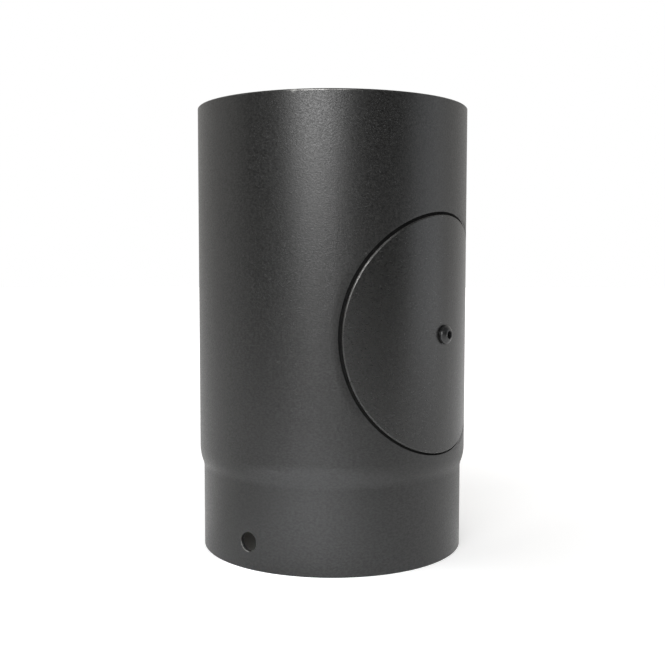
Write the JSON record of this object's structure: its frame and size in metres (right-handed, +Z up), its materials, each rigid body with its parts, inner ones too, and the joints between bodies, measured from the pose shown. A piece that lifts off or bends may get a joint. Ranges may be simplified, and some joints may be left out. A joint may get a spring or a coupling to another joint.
{
  "type": "flue pipe with inspection door",
  "caption": "Short round stove flue pipe with a reduced spigot below and a flush round inspection door held by a central screw.",
  "frame": {"origin": "on the pipe's axis, in the plane of the spigot's lower end", "axes": "+Z up along the pipe's axis towards the socket, -Y out through the middle of the door, +X to the right seen from in front of the door"},
  "size_m": [0.154, 0.1573, 0.25],
  "materials": {
    "black_paint": "matt heat-resistant paint with a fine grain",
    "dull_black": "dull black primer",
    "fibre": "pressed mineral fibre",
    "blackened_steel": "black oxide",
    "plain_steel": "plain rolled steel"
  },
  "bodies": {
    "pipe": {"flue_pipe": "black_paint", "seat_plate": "dull_black"},
    "door": {"inspection_door": "black_paint", "door_seal": "fibre"},
    "screw": {"door_screw": "blackened_steel"},
    "clamp": {"clamp_bar": "plain_steel", "clamp_nut": "plain_steel"}
  },
  "joints": [
    {"name": "door_lift", "type": "slide", "parent": "pipe", "child": "door", "axis": [0, -1, 0], "range_m": [0, 0.1]},
    {"name": "screw_turn", "type": "hinge", "parent": "door", "child": "screw", "pos_m": [0, -0.077, 0.1248], "axis": [0, -1, 0], "continuous": true},
    {"name": "clamp_bar_turn", "type": "hinge", "parent": "pipe", "child": "clamp", "pos_m": [0, -0.071, 0.1248], "axis": [0, -1, 0], "range_deg": [0, 90]}
  ]
}
